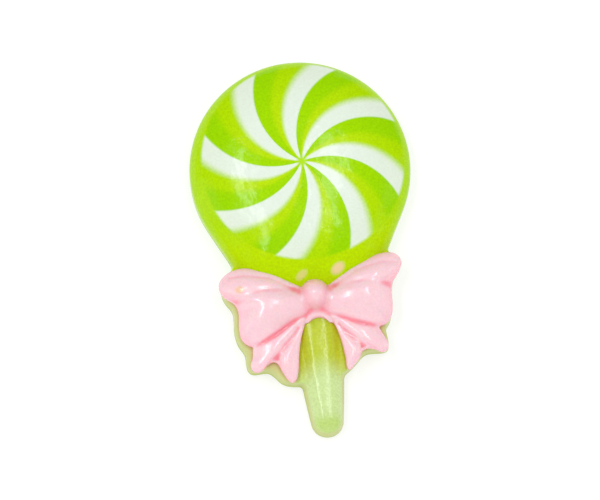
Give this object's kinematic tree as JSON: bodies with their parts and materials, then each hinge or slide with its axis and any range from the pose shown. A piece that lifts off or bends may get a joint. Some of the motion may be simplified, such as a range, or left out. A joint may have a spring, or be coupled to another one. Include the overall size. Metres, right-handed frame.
{
  "type": "resin lollipop cabochon",
  "caption": "Flat-backed resin charm shaped like a round swirl lollipop on a short stick, with a puffed ribbon bow.",
  "frame": {"origin": "middle of the flat back, at the height of the surface it lies on", "axes": "+X to the right of the face, +Y along the stick towards the disc, +Z out of the shown face"},
  "size_m": [0.022, 0.0378, 0.0056],
  "materials": {
    "green_resin": "clear glossy cast resin, lime green face with a white and two-green swirl, paler at the back and stick",
    "pink_resin": "opaque pale pink cast resin, soft gloss"
  },
  "bodies": {
    "root": {"body": "green_resin", "bow": "pink_resin"}
  },
  "joints": []
}
